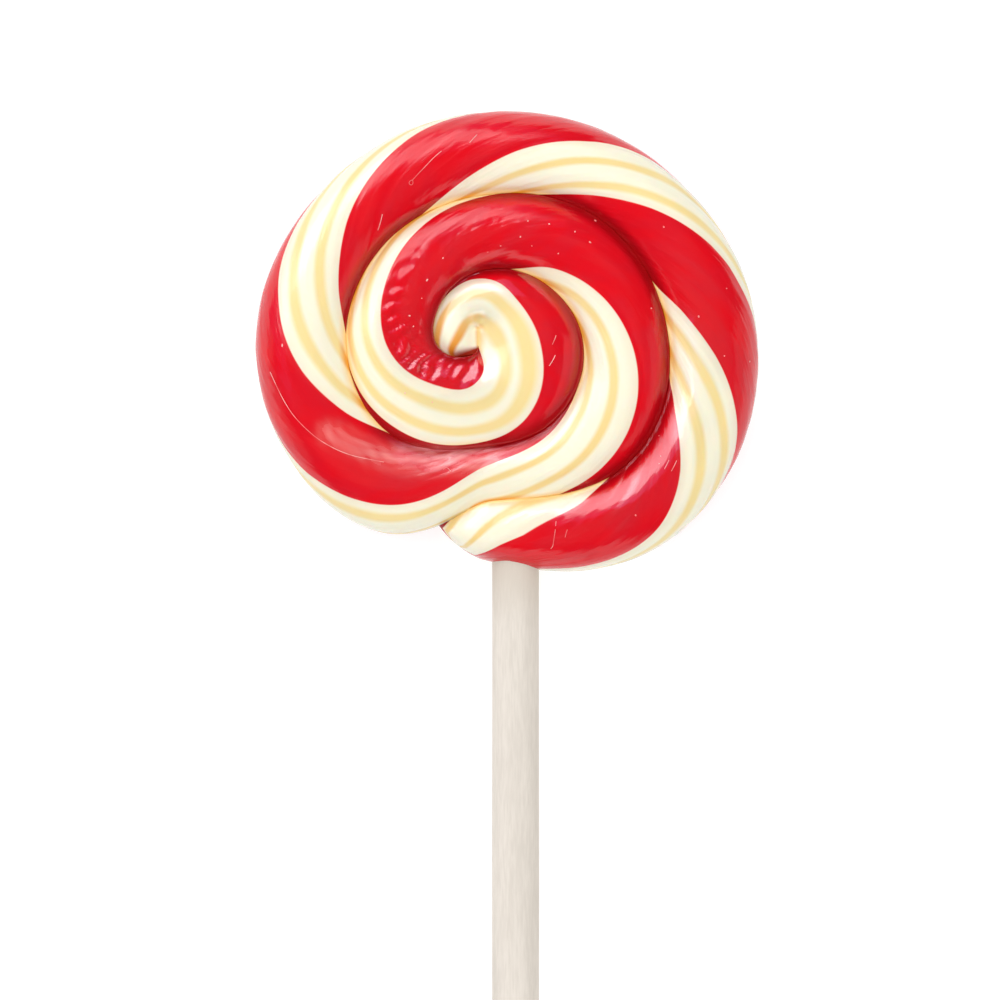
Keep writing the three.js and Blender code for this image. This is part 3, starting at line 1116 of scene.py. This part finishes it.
before_hook = t.step(place_along, *BEFORE_HOOK, 1.0, 0.0)
on_hook = t.math("SUBTRACT", 1.0, before_hook)
coat = t.math("MULTIPLY", gloss, t.math("MAXIMUM", t.step(streaks, 0.0, 1.0, *COAT), on_hook))
bump = t.bump(t.math("MULTIPLY", height, before_hook), 0.25, 0.4 * MM)
bump = t.bump(t.math("MULTIPLY", streak_height, before_hook), 0.5, 0.5 * MM, bump)
roughness = t.step(streaks, 0.0, 1.0, *ROUGHNESS)
roughness = t.math("MULTIPLY_ADD", scuff_and_sheen, SCUFFED_ROUGHNESS, roughness)
finish_material(sugar, t, {
    "Base Color": colour, "Roughness": roughness, "IOR": 1.54, "Normal": bump,
    "Subsurface Weight": 0.5, "Subsurface Radius": (1.0, 0.6, 0.4), "Subsurface Scale": MM,
    "Coat Weight": coat, "Coat Roughness": 0.06, "Coat IOR": 2.4,
    "Emission Color": painted_glow, "Emission Strength": 1.0,
}, candy)

# %% [markdown]
# ## Blisters and threads
#
# Thin clear sugar over red looks pale pink. The tint changes from one blister to the next, so a
# coarse noise on their place mixes two tints.

# %% The material of bubbles and threads
CLEAR_SUGAR = rgb(250, 196, 190)
PINK_SUGAR = rgb(238, 120, 118)

clear, t = new_material("clear sugar")
place = t.add("ShaderNodeTexCoord").outputs["Object"]
patches, height = uneven_surface(t, place, patch_scale=400.0, grain_scale=4000.0, grain_share=0.4)
finish_material(clear, t, {
    "Base Color": t.blend(patches, PINK_SUGAR, CLEAR_SUGAR), "Roughness": 0.12, "IOR": 1.54,
    "Normal": t.bump(height, 0.2, 0.1 * MM),
}, bubbles, threads)

# %% [markdown]
# ## Rolled paper
#
# The stick is bare matt paper. Its fibres lie along it, so the grain is squeezed across the
# stick by a Mapping node before it is read. Near the candy the paper is darker, a painted shade
# where it goes into the candy, and a painted glow evens out the stick's shading.

# %% The stick's material
PAPER = rgb(162, 156, 149)
PAPER_LIGHT = rgb(178, 172, 165)
# painted shade: paper next to the candy
PAPER_SHADED = rgb(150, 141, 129)
# painted light: the paper glows a little, which evens out its shading
PAPER_PAINTED_LIGHT = rgb(150, 143, 133)  # light from the table
FIBRE_STRETCH = 9.0
CANDY_FOOT = 29.5  # from the coil's middle to where the stick leaves the candy
CANDY_SHADE_LENGTH = 9.0
CANDY_SHADE = 0.75

paper, t = new_material("rolled paper")
place = t.add("ShaderNodeTexCoord").outputs["Object"]
fibres = t.add("ShaderNodeMapping", {"Vector": place, "Scale": (1.0, 1 / FIBRE_STRETCH, 1.0)}).outputs[0]
_, height = uneven_surface(t, fibres, patch_scale=500.0, grain_scale=3500.0, grain_share=0.5)
tone = t.blend(t.step(height, *NOISE_RANGE), PAPER, PAPER_LIGHT)
candy_edge = (COIL_Y - CANDY_FOOT) * MM
# painted shade: the paper darkens towards where it goes into the candy
candy_shade_mask = t.step(t.split(place)[1], candy_edge - CANDY_SHADE_LENGTH * MM, candy_edge)
tone = t.blend(t.math("MULTIPLY", candy_shade_mask, CANDY_SHADE), tone, PAPER_SHADED)
finish_material(paper, t, {
    "Base Color": tone, "Roughness": 0.85, "Normal": t.bump(height, 0.35, 0.2 * MM),
    "Emission Color": PAPER_PAINTED_LIGHT, "Emission Strength": 1.0,
}, stick)

# %% [markdown]
# ## The table and the light
#
# The lollipop lies on a plain white table. A bright table matters for glossy things, because
# their steep sides mirror it. One large softbox stands behind the candy on the left and makes the
# long soft highlights. Part of its light is only seen in the gloss, so the highlights can be
# strong while the shading stays even. Weak fills stand at the other sides.

# %% The table
TABLE_GAP = 0.03  # keeps the back's and the table's surfaces apart

select_nothing()
bpy.ops.mesh.primitive_plane_add(size=4.0, location=(0, 0, -TABLE_GAP * MM))
floor = bpy.context.object
floor.name = "floor"
white, t = new_material("white table")
finish_material(white, t, {
    "Base Color": rgb(158, 158, 158), "Roughness": 0.9, "Specular IOR Level": 0.0,
    "Emission Color": (1, 1, 1, 1), "Emission Strength": 0.75,
}, floor)

# %% The light
CANDY_MIDDLE = Vector((COIL_X * MM, COIL_Y * MM, 5 * MM))


def softbox(name, azimuth, elevation, distance, width, height, power, in_gloss=True):
    """A flat soft light that faces the candy from a compass angle and a height angle."""
    flat_way, rise = polar(1, elevation)
    way = Vector((*polar(flat_way, azimuth), rise))
    select_nothing()
    bpy.ops.object.light_add(type="AREA", location=CANDY_MIDDLE + way * distance)
    light = bpy.context.object
    light.name = name
    light.rotation_euler = way.to_track_quat("Z", "Y").to_euler()
    light.data.shape = "RECTANGLE"
    light.data.size = width
    light.data.size_y = height
    light.data.energy = power
    light.visible_camera = False
    light.visible_glossy = in_gloss
    return light


# azimuth, elevation, distance, width and height in metres, power in watts
softbox("key", 130, 33, 0.8, 1.0, 0.65, 3.2)
shine = softbox("shine", 130, 33, 0.8, 1.0, 0.65, 24.0)
halo = softbox("halo", 130, 33, 0.85, 1.7, 1.2, 2.4)
halo.data.color = (0.8, 0.4, 1.0)
for only_gloss in (shine, halo):
    only_gloss.visible_diffuse = False
softbox("right_fill", -15, 18, 1.0, 1.0, 0.6, 0.9)
softbox("front_fill", 270, 16, 1.0, 1.0, 0.5, 1.5)
softbox("left_fill", 195, 10, 1.0, 0.8, 0.3, 0.3)
softbox("overhead", 90, 89, 1.0, 2.0, 2.0, 20.5, in_gloss=False)

world = bpy.data.worlds.new("studio")
bpy.context.scene.world = world
world.use_nodes = True
background = world.node_tree.nodes["Background"].inputs
background["Color"].default_value = (1, 1, 1, 1)
background["Strength"].default_value = 0.06
bpy.context.scene.view_settings.view_transform = "Standard"
